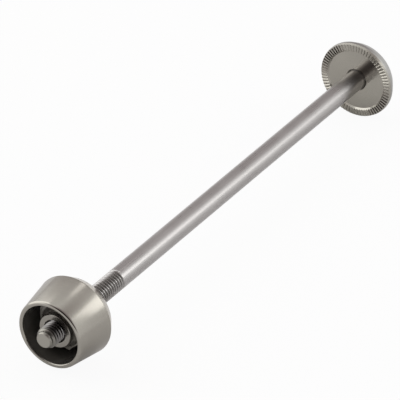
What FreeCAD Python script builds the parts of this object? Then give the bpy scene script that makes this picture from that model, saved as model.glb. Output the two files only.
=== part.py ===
import FreeCAD, Part
import os
import Sketcher

# Front wheel locking skewer, lying level on its two rims with its axis along Y.
# The cup opens towards -Y, the serrated head is at +Y, and the origin is at mid length on the axis.
# Lengths are in millimetres and angles in degrees.

SIZES = {
    # Drawn rod
    "rod_diameter": 5.0,
    "rod_tip_drop": 0.75,
    "rod_tip_taper": 1.2,
    "rod_tip_proud": 4.4,
    # Free length of rod between the cup's back and the crests of the head
    "grip_span": 117.4,
    # Widest edge of the cup and of the head, which are alike
    "rim_diameter": 19.7,
    # Serrated head
    "head_thickness": 3.75,
    "head_web": 0.8,
    "head_recess": 0.5,
    "head_bevel_width": 0.2,
    "head_bevel_height": 0.65,
    "head_rim_width": 0.75,
    "head_back_diameter": 17.0,
    "ring_inner_diameter": 16.2,
    "ring_wall_lean": 0.4,
    "tooth_count": 72,
    "tooth_groove_depth": 0.18,
    "tooth_groove_width": 0.44,
    "tooth_cut_over": 0.05,
    "socket_relief": 0.35,
    "braze_gap": 0.02,
    # Cone-shaped cup
    "cup_depth": 9.0,
    "cup_floor": 3.45,
    "cup_bore_diameter": 14.7,
    "cup_mouth_diameter": 16.76,
    "cup_rim_place": 9.7,
    "cup_back_diameter": 16.0,
    "cup_lip_outer_round": 0.6,
    "cup_lip_inner_round": 0.3,
    "cup_root_round": 0.5,
    "cup_edge_round": 0.2,
    "cup_hole_chamfer": 0.3,
    "cup_slide_clearance": 0.1,
    # Coded nut
    "nut_height": 7.0,
    "nut_thread_clearance": 0.05,
    "nut_boss_diameter": 8.3,
    "nut_boss_chamfer": 0.12,
    "nut_countersink": 0.35,
    "nut_cone_diameter": 10.4,
    "nut_body_diameter": 11.1,
    "nut_body_chamfer": 0.1,
    "code_height": 4.6,
    "ridge_flank_angle": 60.0,
    "ridge_tip_round": 0.4,
    "main_ridge_diameter": 12.6,
    "main_ridge_angle": 150.0,
    "side_ridge_diameter": 12.3,
    "side_ridge_angle": 66.0,
    "low_ridge_diameter": 12.0,
    "low_ridge_angle": 291.0,
}

FORMULAS = {
    "overall_length": "rod_tip_proud + nut_height + cup_floor + grip_span + head_thickness",
    "rod_place": "-overall_length / 2",
    "seat_place": "rod_place + rod_tip_proud + nut_height",
    "head_place": "overall_length / 2 - head_thickness",
    "rim_radius": "rim_diameter / 2",
    # Rod, measured from its tip
    "rod_radius": "rod_diameter / 2",
    "rod_tip_radius": "rod_radius - rod_tip_drop",
    "rod_length": "overall_length - head_web",
    # Head, measured from its crests
    "socket_radius": "rod_radius + braze_gap",
    "socket_floor": "head_thickness - head_web",
    "relief_radius": "socket_radius + socket_relief",
    "relief_end": "head_recess + socket_relief",
    "ring_inner_radius": "ring_inner_diameter / 2",
    "ring_foot_radius": "ring_inner_radius - ring_wall_lean",
    "ring_outer_radius": "rim_radius - head_bevel_width",
    "head_rim_end": "head_bevel_height + head_rim_width",
    "head_back_radius": "head_back_diameter / 2",
    "groove_over": "-tooth_cut_over",
    "groove_right": "tooth_groove_width / 2 * (1 + tooth_cut_over / tooth_groove_depth)",
    "groove_left": "-groove_right",
    "groove_start": "ring_foot_radius - tooth_cut_over",
    "groove_length": "rim_radius + tooth_cut_over - groove_start",
    # Cup, measured from the floor that the nut sits on
    "cup_hole_radius": "rod_radius + cup_slide_clearance",
    "cup_hole_mouth": "cup_hole_radius + cup_hole_chamfer",
    "cup_hole_end": "cup_floor - cup_hole_chamfer",
    "cup_bore_radius": "cup_bore_diameter / 2",
    "cup_mouth_radius": "cup_mouth_diameter / 2",
    "cup_mouth_place": "-cup_depth",
    "cup_rim_height": "cup_rim_place - cup_depth",
    "cup_back_radius": "cup_back_diameter / 2",
    # Nut, measured from its seat
    "nut_bore_radius": "rod_radius + nut_thread_clearance",
    "nut_body_radius": "nut_body_diameter / 2",
    "nut_step_radius": "nut_body_radius - nut_body_chamfer",
    "nut_cone_radius": "nut_cone_diameter / 2",
    "nut_boss_radius": "nut_boss_diameter / 2",
    "nut_face_radius": "nut_boss_radius - nut_boss_chamfer",
    "countersink_radius": "nut_bore_radius + nut_countersink",
    "nut_face": "-nut_height",
    "nut_face_edge": "nut_boss_chamfer - nut_height",
    "countersink_end": "nut_countersink - nut_height",
    "code_top": "-code_height",
    "code_edge": "nut_body_chamfer - code_height",
    "cone_top": "code_top - (nut_cone_radius - nut_boss_radius)",
}

RIDGES = ("main_ridge", "side_ridge", "low_ridge")


def ridge_formulas(ridge):
    """Places of a ridge's round tip and straight flanks, in the plane of the nut, with the ridge along X."""
    return {
        f"{ridge}_centre": f"{ridge}_diameter / 2 - ridge_tip_round",
        f"{ridge}_tip_x": f"{ridge}_centre + ridge_tip_round * sin(ridge_flank_angle * 1 deg)",
        f"{ridge}_tip_up": "ridge_tip_round * cos(ridge_flank_angle * 1 deg)",
        f"{ridge}_tip_down": f"-{ridge}_tip_up",
        f"{ridge}_reach": f"{ridge}_centre * sin(ridge_flank_angle * 1 deg) + ridge_tip_round",
        f"{ridge}_foot_x": f"{ridge}_reach * sin(ridge_flank_angle * 1 deg)",
        f"{ridge}_foot_up": f"{ridge}_reach * cos(ridge_flank_angle * 1 deg)",
        f"{ridge}_foot_down": f"-{ridge}_foot_up",
    }


def fill_sheet(doc):
    """Puts the driving sizes in the sheet as plain numbers, and below them what follows from them."""
    sheet = doc.addObject("Spreadsheet::Sheet", "Sizes")
    formulas = dict(FORMULAS)
    for ridge in RIDGES:
        formulas.update(ridge_formulas(ridge))
    cells = [(name, str(number)) for name, number in SIZES.items()]
    cells += [(name, "=" + formula) for name, formula in formulas.items()]
    for row, (name, text) in enumerate(cells, start=1):
        sheet.set(f"A{row}", name)
        sheet.set(f"B{row}", text)
        sheet.setAlias(f"B{row}", name)
    doc.recompute()


def size(sheet, name):
    """A size's value in the sheet, or 0 on an axis, which is written as None."""
    return 0.0 if name is None else float(sheet.get(name))


def origin_feature(body, role):
    return next(feature for feature in body.Origin.OriginFeatures if feature.Role == role)


def new_body(doc, label, place):
    """A body turned about Y whose own zero lies at the named place along the skewer."""
    body = doc.addObject("PartDesign::Body", label)
    body.Label = label
    body.setExpression("Placement.Base.y", f"Sizes.{place}")
    return body


def new_sketch(body, name, plane):
    sketch = body.newObject("Sketcher::SketchObject", name)
    sketch.AttachmentSupport = [(origin_feature(body, plane), "")]
    sketch.MapMode = "FlatFace"
    return sketch


def tie_point(sketch, edge, end, across, along):
    """Holds one end of an edge at two named sizes from the sketch's own axes."""
    for kind, axis, name in (("DistanceX", -2, across), ("DistanceY", -1, along)):
        if name is None:
            sketch.addConstraint(Sketcher.Constraint("PointOnObject", edge, end, axis))
            continue
        value = float(sketch.Document.Sizes.get(name))
        index = sketch.addConstraint(Sketcher.Constraint(kind, edge, end, value))
        sketch.setExpression(f"Constraints[{index}]", f"Sizes.{name}")


def closed_outline(sketch, corners):
    """Draws straight edges through the corners, each a pair of named sizes, and ties every corner."""
    sheet = sketch.Document.Sizes
    points = [FreeCAD.Vector(size(sheet, across), size(sheet, along), 0) for across, along in corners]
    for start, end in zip(points, points[1:] + points[:1]):
        sketch.addGeometry(Part.LineSegment(start, end), False)
    for edge, (across, along) in enumerate(corners):
        previous = (edge - 1) % len(corners)
        sketch.addConstraint(Sketcher.Constraint("Coincident", previous, 2, edge, 1))
        tie_point(sketch, edge, 1, across, along)


def turned(body, name, corners):
    """Turns an outline of (radius, place along the axis) corners about the body's Y axis."""
    sketch = new_sketch(body, name + "_outline", "XY_Plane")
    closed_outline(sketch, corners)
    feature = body.newObject("PartDesign::Revolution", name)
    feature.Profile = sketch
    feature.ReferenceAxis = (sketch, ["V_Axis"])
    feature.Angle = 360
    body.Document.recompute()
    return feature


def ring_edge(feature, radius, place):
    """The name of the round edge of a turned feature at a radius and a place along its axis."""
    reach = 1e-4
    for number, edge in enumerate(feature.Shape.Edges, start=1):
        curve = edge.Curve
        if isinstance(curve, Part.Circle) and abs(curve.Radius - radius) < reach:
            if abs(feature.Placement.inverse().multVec(curve.Center).y - place) < reach:
                return f"Edge{number}"
    raise ValueError(f"{feature.Label} has no edge at radius {radius} and place {place}")


def rounded(body, name, base, ring, radius):
    """Rounds the ring edge of a turned feature at a named radius and place along the axis."""
    sheet = body.Document.Sizes
    across, along = ring
    fillet = body.newObject("PartDesign::Fillet", name)
    fillet.Base = (base, [ring_edge(base, size(sheet, across), size(sheet, along))])
    fillet.setExpression("Radius", f"Sizes.{radius}")
    body.Document.recompute()
    return fillet


def make_rod(doc):
    """Drawn rod with a tapered tip, ending in the head's socket."""
    body = new_body(doc, "skewer_rod", "rod_place")
    turned(body, "rod_bar", [
        (None, None),
        ("rod_tip_radius", None),
        ("rod_radius", "rod_tip_taper"),
        ("rod_radius", "rod_length"),
        (None, "rod_length"),
    ])
    return body


def make_head(doc):
    """Head disc with a recessed face, a raised ring of radial teeth and a bevelled plain back."""
    body = new_body(doc, "serrated_head", "head_place")
    disc = turned(body, "head_disc", [
        (None, "socket_floor"),
        ("socket_radius", "socket_floor"),
        ("socket_radius", "relief_end"),
        ("relief_radius", "head_recess"),
        ("ring_foot_radius", "head_recess"),
        ("ring_inner_radius", None),
        ("ring_outer_radius", None),
        ("rim_radius", "head_bevel_height"),
        ("rim_radius", "head_rim_end"),
        ("head_back_radius", "head_thickness"),
        (None, "head_thickness"),
    ])
    notch = new_sketch(body, "tooth_groove_outline", "YZ_Plane")
    notch.setExpression("AttachmentOffset.Base.z", "Sizes.groove_start")
    closed_outline(notch, [
        ("tooth_groove_depth", None),
        ("groove_over", "groove_right"),
        ("groove_over", "groove_left"),
    ])
    groove = body.newObject("PartDesign::Pocket", "tooth_groove")
    groove.Profile = notch
    groove.Type = "Length"
    groove.Reversed = True
    groove.setExpression("Length", "Sizes.groove_length")
    doc.recompute()
    if groove.Shape.Volume >= disc.Shape.Volume:
        raise RuntimeError("the tooth groove cuts nothing")
    teeth = body.newObject("PartDesign::PolarPattern", "teeth")
    teeth.Originals = [groove]
    teeth.Axis = (origin_feature(body, "Y_Axis"), [""])
    teeth.Angle = 360
    teeth.setExpression("Occurrences", "Sizes.tooth_count")
    body.Tip = teeth
    doc.recompute()
    return body


def make_cup(doc):
    """Cup that widens from a rounded lip to its rim, with a bevelled back and a hole for the rod."""
    body = new_body(doc, "cone_cup", "seat_place")
    shell = turned(body, "cup_shell", [
        ("cup_hole_radius", None),
        ("cup_bore_radius", None),
        ("cup_bore_radius", "cup_mouth_place"),
        ("cup_mouth_radius", "cup_mouth_place"),
        ("rim_radius", "cup_rim_height"),
        ("cup_back_radius", "cup_floor"),
        ("cup_hole_mouth", "cup_floor"),
        ("cup_hole_radius", "cup_hole_end"),
    ])
    lip = rounded(body, "outer_lip", shell, ("cup_mouth_radius", "cup_mouth_place"), "cup_lip_outer_round")
    lip = rounded(body, "inner_lip", lip, ("cup_bore_radius", "cup_mouth_place"), "cup_lip_inner_round")
    root = rounded(body, "cup_root", lip, ("cup_bore_radius", None), "cup_root_round")
    rounded(body, "cup_back_edge", root, ("cup_back_radius", "cup_floor"), "cup_edge_round")
    return body


def add_ridge(body, ridge):
    """One ridge of the nut's code: straight flanks that run into a round tip."""
    doc = body.Document
    sheet = doc.Sizes
    sketch = new_sketch(body, ridge + "_outline", "XZ_Plane")
    turn = FreeCAD.Rotation(FreeCAD.Vector(0, 0, 1), size(sheet, ridge + "_angle"))
    sketch.AttachmentOffset = FreeCAD.Placement(FreeCAD.Vector(0, 0, 0), turn)
    sketch.setExpression("AttachmentOffset.Rotation.Angle", f"Sizes.{ridge}_angle")
    tip_x = size(sheet, ridge + "_tip_x")
    foot_x = size(sheet, ridge + "_foot_x")
    tip_up = FreeCAD.Vector(tip_x, size(sheet, ridge + "_tip_up"), 0)
    tip_down = FreeCAD.Vector(tip_x, size(sheet, ridge + "_tip_down"), 0)
    foot_up = FreeCAD.Vector(foot_x, size(sheet, ridge + "_foot_up"), 0)
    foot_down = FreeCAD.Vector(foot_x, size(sheet, ridge + "_foot_down"), 0)
    crown = FreeCAD.Vector(size(sheet, ridge + "_diameter") / 2, 0, 0)
    edges = [
        Part.Arc(tip_down, crown, tip_up),
        Part.LineSegment(tip_up, foot_up),
        Part.LineSegment(foot_up, foot_down),
        Part.LineSegment(foot_down, tip_down),
    ]
    sketch.addGeometry(edges, False)
    for edge in range(len(edges)):
        sketch.addConstraint(Sketcher.Constraint("Coincident", edge, 2, (edge + 1) % len(edges), 1))
    tie_point(sketch, 0, 3, ridge + "_centre", None)
    tie_point(sketch, 0, 2, ridge + "_tip_x", ridge + "_tip_up")
    tie_point(sketch, 2, 1, ridge + "_foot_x", ridge + "_foot_up")
    tie_point(sketch, 2, 2, ridge + "_foot_x", ridge + "_foot_down")
    sketch.addConstraint(Sketcher.Constraint("Symmetric", 0, 1, 0, 2, -1))
    pad = body.newObject("PartDesign::Pad", ridge)
    pad.Profile = sketch
    pad.setExpression("Length", "Sizes.code_height")
    doc.recompute()


def make_nut(doc):
    """Round nut with a coned boss, a countersunk bore and ridges of uneven place and reach on its body."""
    body = new_body(doc, "coded_nut", "seat_place")
    turned(body, "nut_body", [
        ("nut_bore_radius", None),
        ("nut_body_radius", None),
        ("nut_body_radius", "code_edge"),
        ("nut_step_radius", "code_top"),
        ("nut_cone_radius", "code_top"),
        ("nut_boss_radius", "cone_top"),
        ("nut_boss_radius", "nut_face_edge"),
        ("nut_face_radius", "nut_face"),
        ("countersink_radius", "nut_face"),
        ("nut_bore_radius", "countersink_end"),
    ])
    for ridge in RIDGES:
        add_ridge(body, ridge)
    return body


def check(doc, bodies):
    """Stops on any failed feature, and on a sub-part that isn't one valid solid."""
    doc.recompute()
    for item in doc.Objects:
        if {"Invalid", "Error"} & set(item.State):
            raise RuntimeError(f"{item.Label} failed")
    for body in bodies:
        if body.Shape.isNull() or not body.Shape.isValid() or len(body.Shape.Solids) != 1:
            raise RuntimeError(f"{body.Label} isn't one valid solid")


def main():
    doc = FreeCAD.newDocument("locking_skewer")
    fill_sheet(doc)
    bodies = [make_rod(doc), make_head(doc), make_cup(doc), make_nut(doc)]
    check(doc, bodies)
    os.makedirs("parts", exist_ok=True)
    for body in bodies:
        body.Shape.exportStep(f"parts/{body.Label}.step")
        box = body.Shape.BoundBox
        print(f"{body.Label}: {body.Shape.Volume:.2f} mm3, y {box.YMin:.3f} to {box.YMax:.3f}")


main()
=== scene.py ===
from math import asin, atan2, cos, pi, radians, sin

import bmesh
import bpy
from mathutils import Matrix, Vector


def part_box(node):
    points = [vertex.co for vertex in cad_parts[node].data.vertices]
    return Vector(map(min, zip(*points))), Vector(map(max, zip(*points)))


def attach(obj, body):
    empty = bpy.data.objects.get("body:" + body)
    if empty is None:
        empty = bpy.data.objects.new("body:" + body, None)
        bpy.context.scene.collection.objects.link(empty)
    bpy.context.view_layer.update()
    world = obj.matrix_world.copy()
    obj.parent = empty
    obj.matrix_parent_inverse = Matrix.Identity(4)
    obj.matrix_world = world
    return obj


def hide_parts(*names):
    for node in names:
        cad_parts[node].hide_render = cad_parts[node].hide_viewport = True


# A locking wheel skewer of satin stainless steel, lying on its two rims.
# Everything is in metres in the frame of the solids: the axis lies along Y,
# with the cup's mouth at -Y and the head at +Y.

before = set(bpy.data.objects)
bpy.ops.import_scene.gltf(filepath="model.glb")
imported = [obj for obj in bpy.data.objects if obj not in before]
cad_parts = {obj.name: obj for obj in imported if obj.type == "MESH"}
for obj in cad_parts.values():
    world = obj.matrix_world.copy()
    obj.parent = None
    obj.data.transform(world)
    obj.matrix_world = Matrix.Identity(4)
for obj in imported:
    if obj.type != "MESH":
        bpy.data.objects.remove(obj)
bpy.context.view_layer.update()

MM = 0.001
AXIS = Vector((0, 1, 0))

rod_low, rod_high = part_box("skewer_rod")
cup_low, cup_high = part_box("cone_cup")
head_low, head_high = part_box("serrated_head")
nut_low, nut_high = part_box("coded_nut")

ROD_RADIUS = rod_high.x
RIM_RADIUS = head_high.x
FLOOR_LEVEL = cup_low.z

# Sizes of the rod's thread and tapered tip
PITCH = 0.8 * MM
THREAD_LENGTH = 28.7 * MM
THREAD_RUN_OUT = 0.7 * MM
THREAD_DEPTH = 0.46 * MM
CREST_FLAT = 0.12 * MM
ROOT_FLAT = 0.14 * MM
TIP_DROP = 0.75 * MM
TIP_TAPER = 1.2 * MM

# Sizes of the cup
CUP_BORE_RADIUS = 7.35 * MM
CUP_MOUTH_RADIUS = 8.38 * MM
CUP_RIM_PLACE = 9.7 * MM
CUP_BACK_RADIUS = 8.0 * MM
CUP_HOLE_RADIUS = 2.6 * MM
CUP_HOLE_CHAMFER = 0.3 * MM
CUP_LIP_OUTER_ROUND = 0.51 * MM
CUP_LIP_INNER_ROUND = 0.3 * MM
CUP_ROOT_ROUND = 0.5 * MM
CUP_RIM_ROUND = 0.12 * MM
CUP_EDGE_ROUND = 0.2 * MM

# Sizes of the head and its ring of teeth
HEAD_WEB = 0.8 * MM
HEAD_RECESS = 0.5 * MM
HEAD_BEVEL_WIDTH = 0.2 * MM
HEAD_BEVEL_HEIGHT = 0.65 * MM
HEAD_RIM_WIDTH = 0.75 * MM
HEAD_BACK_RADIUS = 8.5 * MM
HEAD_EDGE_ROUND = 0.15 * MM
SOCKET_RADIUS = 2.52 * MM
SOCKET_RELIEF = 0.35 * MM
RING_INNER_RADIUS = 8.1 * MM
RING_OUTER_RADIUS = RIM_RADIUS - HEAD_BEVEL_WIDTH
RING_WALL_LEAN = 0.4 * MM
RING_FOOT_RADIUS = RING_INNER_RADIUS - RING_WALL_LEAN
TOOTH_COUNT = 72
GROOVE_DEPTH = 0.18 * MM
GROOVE_HALF_WIDTH = 0.22 * MM

# Fineness of the meshes
THREAD_STEPS = 72
TURNED_STEPS = 256
STEPS_PER_TOOTH = 4
NEAR = 1e-6
SHARP_ANGLE = radians(28)
TOOTH_SHARP_ANGLE = radians(14)

# Lines left by turning and drawing, in lines per metre, and the patches left by handling
FINE_TURNED_LINES = 9000
COARSE_TURNED_LINES = 5000
DRAWN_LINES = 5000
DRAWN_STRETCH = 0.02
HANDLING_PATCHES = 160
LINE_DEPTH = 0.004 * MM
LINE_ROUGHNESS = 0.02
WORN_TONE = (0.96, 1.03)
WORN_ROUGHNESS = (-0.03, 0.04)

# Finish of the rod: painted shade in the roots of the thread and on the thread inside the nut, lighter
# on the sawn end and darker on its taper, and a burnished thread
ROOT_SHADE_TONE = 0.2
SHADE_FREE_CREST = 0.1 * MM
NUT_SHADE_TONE = 0.6
NUT_SHADE_DEPTH = 3 * MM
SAWN_TONE = 0.85
TAPER_TONE = 0.56
TAPER_EDGE = 0.1 * MM
SAWN_LENGTH = 0.9 * MM
SAWN_FADE = 2.4 * MM
TIP_GRAIN = 0.1
TIP_GRAIN_LENGTH = 2 * MM
TIP_GRAIN_FADE = 4 * MM
THREAD_BURNISH = -0.09

# Finish of the cup: a dull bore with painted shade deep inside, a painted highlight on the bevelled back
# behind the rim, and a rubbed lip
BORE_POLISH = 0.45
BORE_SHADE = 0.37
BORE_DEPTH_START = 0.2 * MM
BORE_DEPTH_FULL = 0.6 * MM
WALL_START = 0.05 * MM
WALL_FULL = 0.3 * MM
BACK_HIGHLIGHT_TONE = 1.8
BACK_HIGHLIGHT_FADE = 0.15 * MM
LIP_BURNISH = -0.1
LIP_LENGTH = 0.4 * MM
LIP_FADE = 0.8 * MM

# Finish of the nut: dull behind its face
NUT_POLISH = 0.6
NUT_FACE_DEPTH = 0.2 * MM
NUT_DULL_DEPTH = 0.6 * MM

# Finish of the head: a coarsely ground rim and back, and teeth with a share of that grain
RIM_GRAIN = 0.22
TOOTH_GRAIN = 0.4
RIM_FADE = 0.1 * MM

# White sheet: its tone, and its glow to the eye and in the steel, where it is weak near the skewer
SHEET_SIZE = 4
SHEET_TONE = (0.84, 0.84, 0.84, 1)
SHEET_ROUGHNESS = 0.9
SHEET_GLOW = 0.93
SHEET_GLOW_NEAR = 0.04
SHEET_GLOW_FAR = 0.7
GLOW_NEAR_END = 85 * MM
GLOW_FAR_START = 130 * MM

# Patches of the room: direction, light in the middle, and the cosines where a patch starts and is full
ROOM_PATCHES = [
    (Vector((0, 1, 0)), 0.45, 0.35, 0.75),
    (Vector((0.18, -0.93, 0.32)), 0.04, 0.59, 0.9),
    (Vector((0.36, -0.1, 0.93)), 0.5, 0.84, 0.93),
    (Vector((0.42, 0.86, 0.28)), 2.2, 0.82, 0.94),
    (Vector((-0.7, -0.7, 0.1)), 1.8, 0.92, 0.97),
    (Vector((-0.9, 0.3, 0.3)), 1.3, 0.945, 0.975),
]
ROOM_DIM_TINT = (1, 0.84, 0.84)

# Softboxes: name, direction, distance, width, height and power
SOFTBOXES = [
    ("window", Vector((0.673, 0.532, 0.51)), 1.2, 0.52, 0.56, 1.26),
    ("side_light", Vector((-0.861, -0.0965, 0.5)), 1.2, 1.2, 1.4, 5.3),
    ("ceiling_lamp", Vector((-0.06, 0.5, 0.86)), 1.5, 0.25, 0.25, 0.3),
]

# The camera of the photograph: a long lens that looks down on the skewer from the cup's end
CAMERA_AZIMUTH = radians(33.13)
CAMERA_ELEVATION = radians(32.88)
CAMERA_DISTANCE = 847.6 * MM
CAMERA_AIM = Vector((18.9, -33.9, 25.1)) * MM
LENS_MM = 346.35
SENSOR_MM = 36
CLIP_START = 0.01


# Meshes

def radius_of(point):
    """Distance of a point from the skewer's axis."""
    return (point.x ** 2 + point.z ** 2) ** 0.5


def set_radius(vert, radius):
    """Moves a vertex straight towards or away from the axis."""
    scale = radius / radius_of(vert.co)
    vert.co.x *= scale
    vert.co.z *= scale


def everything(bm):
    """All vertices, edges and faces of a mesh, as the operators take them."""
    return bm.verts[:] + bm.edges[:] + bm.faces[:]


def only_verts(items):
    return [item for item in items if isinstance(item, bmesh.types.BMVert)]


def drawn_profile(bm, corners, closed=False):
    """Edges through (radius, place along the axis) corners, ready to be spun."""
    verts = [bm.verts.new((radius, place, 0)) for radius, place in corners]
    edges = [bm.edges.new(pair) for pair in zip(verts, verts[1:])]
    if closed:
        edges.append(bm.edges.new((verts[-1], verts[0])))
    return verts + edges


def spun(bm, profile, steps):
    """Turns a profile once round the axis and closes it, poles included."""
    bmesh.ops.spin(
        bm, geom=profile, cent=(0, 0, 0), axis=AXIS, angle=2 * pi, steps=steps, use_merge=True,
    )
    bmesh.ops.remove_doubles(bm, verts=bm.verts, dist=NEAR)
    bmesh.ops.recalc_face_normals(bm, faces=bm.faces)


def ring_edges(bm, radius, place):
    """Edges of the circle at a radius and a place along the axis."""
    def lies_on(vert):
        return abs(radius_of(vert.co) - radius) < NEAR and abs(vert.co.y - place) < NEAR
    return [edge for edge in bm.edges if all(lies_on(vert) for vert in edge.verts)]


def round_ring(bm, radius, place, size, segments):
    """Rounds the circular edge at a radius and a place along the axis."""
    bmesh.ops.bevel(
        bm, geom=ring_edges(bm, radius, place), offset=size, offset_type="OFFSET", segments=segments,
        profile=0.5, affect="EDGES", material=-1,
    )


def cut_across(bm, place):
    """Cuts the mesh square across the axis and keeps both sides."""
    bmesh.ops.bisect_plane(
        bm, geom=everything(bm), dist=NEAR / 10, plane_co=(0, place, 0), plane_no=AXIS,
    )


def cut_off(bm, place, side):
    """Cuts the mesh square across the axis and drops what lies on one side of the cut."""
    bmesh.ops.bisect_plane(
        bm, geom=everything(bm), dist=NEAR / 10, plane_co=(0, place, 0), plane_no=AXIS * side,
        clear_outer=True,
    )


def open_edges(bm):
    return [edge for edge in bm.edges if edge.is_boundary]


def open_edges_at(bm, place):
    """Open edges that lie square across the axis at a place along it."""
    return [
        edge for edge in open_edges(bm)
        if all(abs(vert.co.y - place) < NEAR for vert in edge.verts)
    ]


def finished_piece(name, bm, material, body, node, sharp_angle=SHARP_ANGLE):
    """Puts a mesh in the scene as a smooth piece that stands for one of the solids."""
    mesh = bpy.data.meshes.new(name)
    bmesh.ops.recalc_face_normals(bm, faces=bm.faces)
    bm.to_mesh(mesh)
    bm.free()
    mesh.shade_smooth()
    mesh.set_sharp_from_angle(angle=sharp_angle)
    mesh.materials.append(material)
    piece = bpy.data.objects.new(name, mesh)
    bpy.context.scene.collection.objects.link(piece)
    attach(piece, body)
    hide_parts(node)
    return piece


def wind_thread(bm, start, turns):
    """Winds one turn of the thread round the axis and repeats it along the axis."""
    root_radius = ROD_RADIUS - THREAD_DEPTH
    flank = (PITCH - CREST_FLAT - ROOT_FLAT) / 2
    profile = drawn_profile(bm, [
        (root_radius, start),
        (root_radius, start + ROOT_FLAT),
        (ROD_RADIUS, start + ROOT_FLAT + flank),
        (ROD_RADIUS, start + ROOT_FLAT + flank + CREST_FLAT),
        (root_radius, start + PITCH),
    ])
    bmesh.ops.spin(
        bm, geom=profile, cent=(0, 0, 0), axis=AXIS, dvec=AXIS * PITCH / THREAD_STEPS,
        angle=2 * pi, steps=THREAD_STEPS,
    )
    first_turn = everything(bm)
    for turn in range(1, turns):
        copied = bmesh.ops.duplicate(bm, geom=first_turn)["geom"]
        bmesh.ops.translate(bm, verts=only_verts(copied), vec=AXIS * PITCH * turn)
    bmesh.ops.remove_doubles(bm, verts=bm.verts, dist=NEAR)


def make_rod(material):
    """Rod with a rolled thread that runs out into the plain shank, and a tapered tip."""
    tip = rod_low.y
    thread_end = tip + THREAD_LENGTH
    bm = bmesh.new()
    wind_thread(bm, tip - 2 * PITCH, int(THREAD_LENGTH / PITCH) + 5)
    for vert in bm.verts:
        faded = min(max((vert.co.y - thread_end + THREAD_RUN_OUT) / THREAD_RUN_OUT, 0), 1)
        radius = radius_of(vert.co)
        set_radius(vert, radius + (ROD_RADIUS - radius) * faded)
    cut_off(bm, thread_end + PITCH, 1)
    cut_across(bm, tip + TIP_TAPER)
    cut_off(bm, tip, -1)
    for vert in bm.verts:
        tapered = ROD_RADIUS - TIP_DROP * (1 - (vert.co.y - tip) / TIP_TAPER)
        if radius_of(vert.co) > tapered:
            set_radius(vert, tapered)
    shank = bmesh.ops.extrude_edge_only(bm, edges=open_edges_at(bm, thread_end + PITCH))["geom"]
    for vert in only_verts(shank):
        vert.co.y = rod_high.y
    bmesh.ops.holes_fill(bm, edges=open_edges(bm), sides=0)
    return finished_piece("threaded_rod", bm, material, "skewer", "skewer_rod")


def make_cup(material):
    """Turned cup with a rounded lip, a straight bore and a bevelled back."""
    mouth = cup_low.y
    back = cup_high.y
    seat = nut_high.y
    bm = bmesh.new()
    spun(bm, drawn_profile(bm, [
        (CUP_HOLE_RADIUS, seat),
        (CUP_BORE_RADIUS, seat),
        (CUP_BORE_RADIUS, mouth),
        (CUP_MOUTH_RADIUS, mouth),
        (RIM_RADIUS, mouth + CUP_RIM_PLACE),
        (CUP_BACK_RADIUS, back),
        (CUP_HOLE_RADIUS + CUP_HOLE_CHAMFER, back),
        (CUP_HOLE_RADIUS, back - CUP_HOLE_CHAMFER),
    ], closed=True), TURNED_STEPS)
    round_ring(bm, CUP_MOUTH_RADIUS, mouth, CUP_LIP_OUTER_ROUND, 6)
    round_ring(bm, CUP_BORE_RADIUS, mouth, CUP_LIP_INNER_ROUND, 5)
    round_ring(bm, CUP_BORE_RADIUS, seat, CUP_ROOT_ROUND, 5)
    round_ring(bm, RIM_RADIUS, mouth + CUP_RIM_PLACE, CUP_RIM_ROUND, 4)
    round_ring(bm, CUP_BACK_RADIUS, back, CUP_EDGE_ROUND, 4)
    return finished_piece("cone_shaped_cup", bm, material, "cup", "cone_cup")


def cut_teeth(bm, crest):
    """Sinks a V groove into the raised ring at every tooth: the spin left four steps for each."""
    step = 2 * pi / (TOOTH_COUNT * STEPS_PER_TOOTH)
    bottom_inner = RING_INNER_RADIUS - RING_WALL_LEAN * GROOVE_DEPTH / HEAD_RECESS
    bottom_outer = RING_OUTER_RADIUS + HEAD_BEVEL_WIDTH * GROOVE_DEPTH / HEAD_BEVEL_HEIGHT
    for vert in [vert for vert in bm.verts if vert.co.y < crest + NEAR]:
        radius = radius_of(vert.co)
        place = round(atan2(vert.co.z, vert.co.x) / step)
        side = (place + 1) % STEPS_PER_TOOTH - 1
        if side == 0:
            vert.co.y = crest + GROOVE_DEPTH
            set_radius(vert, bottom_inner if radius < RING_INNER_RADIUS + NEAR else bottom_outer)
        elif side in (-1, 1):
            angle = (place - side) * step + side * asin(GROOVE_HALF_WIDTH / radius)
            vert.co.x = radius * cos(angle)
            vert.co.z = radius * sin(angle)


def make_head(material):
    """Turned disc with a recessed face, a raised ring of radial teeth and a bevelled back."""
    crest = head_low.y
    back = head_high.y
    face = crest + HEAD_RECESS
    rim_edge = crest + HEAD_BEVEL_HEIGHT
    rim_end = rim_edge + HEAD_RIM_WIDTH
    bm = bmesh.new()
    spun(bm, drawn_profile(bm, [
        (0, back - HEAD_WEB),
        (SOCKET_RADIUS, back - HEAD_WEB),
        (SOCKET_RADIUS, face + SOCKET_RELIEF),
        (SOCKET_RADIUS + SOCKET_RELIEF, face),
        (RING_FOOT_RADIUS, face),
        (RING_INNER_RADIUS, crest),
        (RING_OUTER_RADIUS, crest),
        (RIM_RADIUS, rim_edge),
        (RIM_RADIUS, rim_end),
        (HEAD_BACK_RADIUS, back),
        (0, back),
    ]), TOOTH_COUNT * STEPS_PER_TOOTH)
    round_ring(bm, RIM_RADIUS, rim_end, HEAD_EDGE_ROUND, 3)
    round_ring(bm, HEAD_BACK_RADIUS, back, HEAD_EDGE_ROUND, 5)
    cut_teeth(bm, crest)
    return finished_piece(
        "toothed_head", bm, material, "skewer", "serrated_head", TOOTH_SHARP_ANGLE,
    )


# Small helpers for the nodes

def math(tree, operation, first, second=None):
    """A Math node on sockets or plain numbers, and its result."""
    node = tree.nodes.new("ShaderNodeMath")
    node.operation = operation
    for socket, value in zip(node.inputs, (first, second)):
        if isinstance(value, bpy.types.NodeSocket):
            tree.links.new(value, socket)
        elif value is not None:
            socket.default_value = value
    return node.outputs[0]


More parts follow.
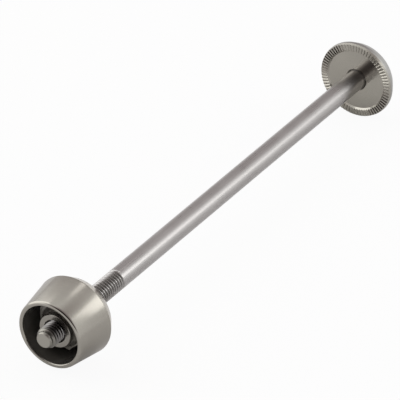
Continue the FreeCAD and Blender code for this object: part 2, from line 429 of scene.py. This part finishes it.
def ranged(tree, value, low, high, from_low=0.3, from_high=0.7):
    """A value between two limits, spread between two other numbers and held there outside the limits."""
    node = tree.nodes.new("ShaderNodeMapRange")
    tree.links.new(value, node.inputs["Value"])
    limits = {"From Min": from_low, "From Max": from_high, "To Min": low, "To Max": high}
    for label, number in limits.items():
        node.inputs[label].default_value = number
    return node.outputs[0]


def mixed(tree, blend, factor, first, second):
    """A Mix node on colours, each a socket or plain numbers, and its result."""
    mix = tree.nodes.new("ShaderNodeMix")
    mix.data_type = "RGBA"
    mix.blend_type = blend
    for label, value in (("Factor", factor), ("A", first), ("B", second)):
        if isinstance(value, bpy.types.NodeSocket):
            tree.links.new(value, mix.inputs[label])
        else:
            mix.inputs[label].default_value = (*value, 1) if isinstance(value, tuple) else value
    return mix.outputs["Result"]


def object_place(tree):
    """The surface point's X, Y and Z in metres."""
    coordinates = tree.nodes.new("ShaderNodeTexCoord")
    split = tree.nodes.new("ShaderNodeSeparateXYZ")
    tree.links.new(coordinates.outputs["Object"], split.inputs[0])
    return split.outputs


def distance_over(tree, place, *labels):
    """Distance from the origin, in metres, counted only along the named axes."""
    squares = [math(tree, "MULTIPLY", place[label], place[label]) for label in labels]
    return math(tree, "SQRT", math(tree, "ADD", *squares))


def axis_distance(tree, place):
    """Distance from the skewer's axis, in metres."""
    return distance_over(tree, place, "X", "Z")


def noise_at(tree, scale, detail, *parts):
    """Noise over a point made of up to three sockets, from 0 to 1."""
    point = tree.nodes.new("ShaderNodeCombineXYZ")
    for socket, part in zip(point.inputs, parts):
        tree.links.new(part, socket)
    noise = tree.nodes.new("ShaderNodeTexNoise")
    tree.links.new(point.outputs[0], noise.inputs["Vector"])
    tree.links.new(scale, noise.inputs["Scale"])
    noise.inputs["Detail"].default_value = detail
    return noise.outputs["Fac"]


# Effects that the finishes share

def node_group(name, inputs, outputs):
    """An empty shader group with float inputs given as (name, default) and named float outputs."""
    group = bpy.data.node_groups.new(name, "ShaderNodeTree")
    for label, default in inputs:
        socket = group.interface.new_socket(label, in_out="INPUT", socket_type="NodeSocketFloat")
        socket.default_value = default
    for label in outputs:
        group.interface.new_socket(label, in_out="OUTPUT", socket_type="NodeSocketFloat")
    return group, group.nodes.new("NodeGroupInput").outputs, group.nodes.new("NodeGroupOutput").inputs


def turning_lines():
    """Fine rings that a lathe leaves: they follow the distance from the axis and the place along it."""
    group, inputs, outputs = node_group(
        "turning_lines", [("Lines per metre", FINE_TURNED_LINES)], ["Lines"],
    )
    place = object_place(group)
    lines = noise_at(group, inputs[0], 2, axis_distance(group, place), place["Y"])
    group.links.new(lines, outputs[0])
    return group


def drawing_lines():
    """Long faint streaks that a die leaves along a drawn rod."""
    group, inputs, outputs = node_group(
        "drawing_lines", [("Lines per metre", DRAWN_LINES), ("Stretch", DRAWN_STRETCH)], ["Lines"],
    )
    place = object_place(group)
    along = math(group, "MULTIPLY", place["Y"], inputs[1])
    group.links.new(noise_at(group, inputs[0], 3, place["X"], along, place["Z"]), outputs[0])
    return group


def handling_marks():
    """Soft patches left by fingers and storage."""
    group, inputs, outputs = node_group(
        "handling_marks", [("Patches per metre", HANDLING_PATCHES)], ["Patches"],
    )
    place = object_place(group)
    group.links.new(noise_at(group, inputs[0], 4, place["X"], place["Y"], place["Z"]), outputs[0])
    return group


TURNING = turning_lines()
DRAWING = drawing_lines()
HANDLING = handling_marks()


def placed(tree, group, **values):
    """The first output of a group placed in a material with its own values."""
    node = tree.nodes.new("ShaderNodeGroup")
    node.node_tree = group
    for label, number in values.items():
        node.inputs[label.replace("_", " ")].default_value = number
    return node.outputs[0]


def turned_lines(tree):
    return placed(tree, TURNING, Lines_per_metre=FINE_TURNED_LINES)


def coarse_turned_lines(tree):
    return placed(tree, TURNING, Lines_per_metre=COARSE_TURNED_LINES)


def drawn_lines(tree):
    return placed(tree, DRAWING, Lines_per_metre=DRAWN_LINES, Stretch=DRAWN_STRETCH)


# Places with a finish of their own

def sawn_end(tree):
    """1 on the rod's sawn end and its taper."""
    place = object_place(tree)
    return ranged(tree, place["Y"], 1, 0, rod_low.y + SAWN_LENGTH, rod_low.y + SAWN_FADE)


def thread_painted_shade(tree):
    """Painted shade in the roots of the thread and on the thread inside the nut, held back on the sawn
    end face and less so on its taper.
    """
    place = object_place(tree)
    distance = axis_distance(tree, place)
    root = ROD_RADIUS - THREAD_DEPTH
    depth = ranged(tree, distance, ROOT_SHADE_TONE, 1, root, ROD_RADIUS - SHADE_FREE_CREST)
    nut_shade = ranged(tree, place["Y"], NUT_SHADE_TONE, 1, nut_low.y + NUT_SHADE_DEPTH, nut_high.y)
    face = ROD_RADIUS - TIP_DROP
    end_tone = ranged(tree, distance, SAWN_TONE, TAPER_TONE, face - TAPER_EDGE, face + TAPER_EDGE)
    end_tone = math(tree, "MULTIPLY", end_tone, sawn_end(tree))
    return math(tree, "MAXIMUM", math(tree, "MULTIPLY", depth, nut_shade), end_tone)


def thread_burnish(tree):
    """The rolled thread is smoother than the drawn shank, and the sawn end is rougher."""
    place = object_place(tree)
    thread_end = rod_low.y + THREAD_LENGTH
    burnish = ranged(tree, place["Y"], THREAD_BURNISH, 0, thread_end - THREAD_RUN_OUT, thread_end)
    grain_end = rod_low.y + TIP_GRAIN_LENGTH
    sawn = ranged(tree, place["Y"], TIP_GRAIN, 0, grain_end, rod_low.y + TIP_GRAIN_FADE)
    return math(tree, "ADD", burnish, sawn)


def outside_bore(tree, deep):
    """1 outside the cup and at its lip, and a lower level deep in its bore."""
    place = object_place(tree)
    depth = ranged(tree, place["Y"], 1, deep, cup_low.y + BORE_DEPTH_START, cup_low.y + BORE_DEPTH_FULL)
    distance = axis_distance(tree, place)
    wall_start = CUP_BORE_RADIUS + WALL_START
    outside = ranged(tree, distance, 0, 1, wall_start, CUP_BORE_RADIUS + WALL_FULL)
    return math(tree, "MAXIMUM", depth, outside)


def bore_polish(tree):
    """No polishing wheel reaches the bore, so it is duller than the outside."""
    return outside_bore(tree, BORE_POLISH)


def cup_painted_shade_and_highlight(tree):
    """Painted shade deep in the bore, and a painted highlight that brightens the bevelled back behind
    the rim.
    """
    rim = cup_low.y + CUP_RIM_PLACE
    # Painted highlight: the colour behind the rim is brightened.
    ground = ranged(tree, object_place(tree)["Y"], 1, BACK_HIGHLIGHT_TONE, rim, rim + BACK_HIGHLIGHT_FADE)
    return math(tree, "MULTIPLY", outside_bore(tree, BORE_SHADE), ground)


def lip_burnish(tree):
    """The lip is rubbed smoother than the flank."""
    place = object_place(tree)
    return ranged(tree, place["Y"], LIP_BURNISH, 0, cup_low.y + LIP_LENGTH, cup_low.y + LIP_FADE)


def nut_polish(tree):
    """Behind its face the nut is nearly as dull as the bore around it."""
    place = object_place(tree)
    face_end = nut_low.y + NUT_FACE_DEPTH
    return ranged(tree, place["Y"], 1, NUT_POLISH, face_end, nut_low.y + NUT_DULL_DEPTH)


def behind_teeth(tree, on_teeth):
    """1 on the head's rim and back, and a lower level on its teeth and face."""
    place = object_place(tree)
    rim_edge = head_low.y + HEAD_BEVEL_HEIGHT
    return ranged(tree, place["Y"], on_teeth, 1, rim_edge - RIM_FADE, rim_edge + RIM_FADE)


def rim_grain(tree):
    """The head's teeth, and still more its rim and back, are ground coarser than its face."""
    distance = axis_distance(tree, object_place(tree))
    outer = ranged(tree, distance, 0, RIM_GRAIN, RING_INNER_RADIUS, HEAD_BACK_RADIUS)
    return math(tree, "MULTIPLY", outer, behind_teeth(tree, TOOTH_GRAIN))


def rim_and_back(tree):
    """1 on the head's rim and back."""
    return behind_teeth(tree, 0)


# Finishes

def stainless(name, colour, roughness, lines, line_tone, line_bump, tone=None, polish=None, grain=None,
              other_colour=None, other_place=None):
    """Satin stainless steel with the lines of its making and with handling marks.

    Where they are given, tone multiplies the colour, polish says how metallic the surface is,
    grain is added to the roughness, and other_colour replaces the colour where other_place is 1.
    """
    material = bpy.data.materials.new(name)
    material.use_nodes = True
    tree = material.node_tree
    surface = tree.nodes["Principled BSDF"]
    surface.inputs["Metallic"].default_value = 1
    if polish is not None:
        tree.links.new(polish(tree), surface.inputs["Metallic"])

    line_pattern = lines(tree)
    patches = placed(tree, HANDLING)
    line_shade = ranged(tree, line_pattern, 1 - line_tone, 1 + line_tone)
    shade = math(tree, "MULTIPLY", line_shade, ranged(tree, patches, *WORN_TONE))
    if tone is not None:
        shade = math(tree, "MULTIPLY", shade, tone(tree))
    if other_colour is not None:
        colour = mixed(tree, "MIX", other_place(tree), colour, other_colour)
    tree.links.new(mixed(tree, "MULTIPLY", 1, colour, shade), surface.inputs["Base Color"])

    smoothest, roughest = (roughness + change for change in WORN_ROUGHNESS)
    line_rough = ranged(tree, line_pattern, -LINE_ROUGHNESS, LINE_ROUGHNESS)
    rough = math(tree, "ADD", ranged(tree, patches, smoothest, roughest), line_rough)
    if grain is not None:
        rough = math(tree, "ADD", rough, grain(tree))
    tree.links.new(rough, surface.inputs["Roughness"])

    bump = tree.nodes.new("ShaderNodeBump")
    bump.inputs["Strength"].default_value = line_bump
    bump.inputs["Distance"].default_value = LINE_DEPTH
    tree.links.new(line_pattern, bump.inputs["Height"])
    tree.links.new(bump.outputs[0], surface.inputs["Normal"])
    return material


# The rod's tone is painted shade in its thread.
ROD_STEEL = stainless(
    "drawn_satin_steel", (0.459, 0.445, 0.434), 0.29, drawn_lines, 0.04, 0.15,
    tone=thread_painted_shade, grain=thread_burnish, other_colour=(0.462, 0.444, 0.395), other_place=sawn_end,
)
# The cup's tone is painted shade in its bore and a painted highlight on its back.
CUP_STEEL = stainless(
    "turned_satin_steel", (0.368, 0.350, 0.312), 0.21, turned_lines, 0.03, 0.2,
    tone=cup_painted_shade_and_highlight, polish=bore_polish, grain=lip_burnish,
)
HEAD_STEEL = stainless(
    "turned_head_steel", (0.404, 0.386, 0.342), 0.15, turned_lines, 0.04, 0.25,
    grain=rim_grain, other_colour=(0.402, 0.396, 0.378), other_place=rim_and_back,
)
NUT_STEEL = stainless(
    "turned_nut_steel", (0.33, 0.315, 0.283), 0.24, coarse_turned_lines, 0.05, 0.3,
    polish=nut_polish,
)


# Floor, light and camera

def sheet_material():
    """White paper whose own glow shows to the eye and in the steel, over the light that falls on it."""
    material = bpy.data.materials.new("white_paper")
    material.use_nodes = True
    tree = material.node_tree
    paper = tree.nodes["Principled BSDF"]
    paper.inputs["Base Color"].default_value = SHEET_TONE
    paper.inputs["Roughness"].default_value = SHEET_ROUGHNESS
    paper.inputs["Specular IOR Level"].default_value = 0
    glow = tree.nodes.new("ShaderNodeEmission")
    rays = tree.nodes.new("ShaderNodeLightPath")
    looked_at = math(tree, "MAXIMUM", rays.outputs["Is Camera Ray"], rays.outputs["Is Transmission Ray"])
    looked_at = math(tree, "MULTIPLY", looked_at, SHEET_GLOW)
    away = distance_over(tree, object_place(tree), "X", "Y")
    far_glow = ranged(tree, away, SHEET_GLOW_NEAR, SHEET_GLOW_FAR, GLOW_NEAR_END, GLOW_FAR_START)
    mirrored = math(tree, "MULTIPLY", rays.outputs["Is Glossy Ray"], far_glow)
    mix = tree.nodes.new("ShaderNodeMixShader")
    tree.links.new(math(tree, "MAXIMUM", looked_at, mirrored), mix.inputs[0])
    tree.links.new(paper.outputs[0], mix.inputs[1])
    tree.links.new(glow.outputs[0], mix.inputs[2])
    tree.links.new(mix.outputs[0], tree.nodes["Material Output"].inputs["Surface"])
    return material


def make_floor():
    """A white sheet under the skewer that takes its shadow."""
    bm = bmesh.new()
    bmesh.ops.create_grid(bm, x_segments=1, y_segments=1, size=SHEET_SIZE)
    bmesh.ops.translate(bm, verts=bm.verts, vec=(0, 0, FLOOR_LEVEL))
    mesh = bpy.data.meshes.new("white_sheet")
    bm.to_mesh(mesh)
    bm.free()
    mesh.materials.append(sheet_material())
    floor = bpy.data.objects.new("white_sheet", mesh)
    bpy.context.scene.collection.objects.link(floor)


def make_room():
    """A white room with pale and dim patches, and a warm tint where it is dim."""
    world = bpy.data.worlds.new("room")
    bpy.context.scene.world = world
    world.use_nodes = True
    tree = world.node_tree
    coordinates = tree.nodes.new("ShaderNodeTexCoord")
    level = 1
    for direction, light, start, full in ROOM_PATCHES:
        toward = tree.nodes.new("ShaderNodeVectorMath")
        toward.operation = "DOT_PRODUCT"
        toward.inputs[1].default_value = direction.normalized()
        tree.links.new(coordinates.outputs["Generated"], toward.inputs[0])
        patch = ranged(tree, toward.outputs["Value"], 1, light, start, full)
        level = math(tree, "MULTIPLY", patch, level)
    background = tree.nodes["Background"]
    tree.links.new(mixed(tree, "MIX", level, ROOM_DIM_TINT, (1, 1, 1)), background.inputs["Color"])
    tree.links.new(level, background.inputs["Strength"])


def make_softbox(name, direction, distance, width, height, power):
    """A rectangular lamp that faces the skewer from a direction."""
    lamp = bpy.data.lights.new(name, "AREA")
    lamp.shape = "RECTANGLE"
    lamp.size = width
    lamp.size_y = height
    lamp.energy = power
    softbox = bpy.data.objects.new(name, lamp)
    bpy.context.scene.collection.objects.link(softbox)
    softbox.location = direction.normalized() * distance
    softbox.rotation_euler = direction.to_track_quat("Z", "Y").to_euler()


def make_camera():
    """The camera, set back from the point that it aims at."""
    camera = bpy.data.objects.new("camera", bpy.data.cameras.new("camera"))
    bpy.context.scene.collection.objects.link(camera)
    camera.data.lens = LENS_MM
    camera.data.sensor_width = SENSOR_MM
    camera.data.clip_start = CLIP_START
    toward = Vector((
        sin(CAMERA_AZIMUTH) * cos(CAMERA_ELEVATION),
        -cos(CAMERA_AZIMUTH) * cos(CAMERA_ELEVATION),
        sin(CAMERA_ELEVATION),
    ))
    camera.location = CAMERA_AIM + toward * CAMERA_DISTANCE
    camera.rotation_euler = toward.to_track_quat("Z", "Y").to_euler()
    bpy.context.scene.camera = camera


make_rod(ROD_STEEL)
make_cup(CUP_STEEL)
make_head(HEAD_STEEL)
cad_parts["coded_nut"].data.materials.clear()
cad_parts["coded_nut"].data.materials.append(NUT_STEEL)

make_floor()
make_room()
for softbox in SOFTBOXES:
    make_softbox(*softbox)
make_camera()
bpy.context.scene.view_settings.view_transform = "Standard"
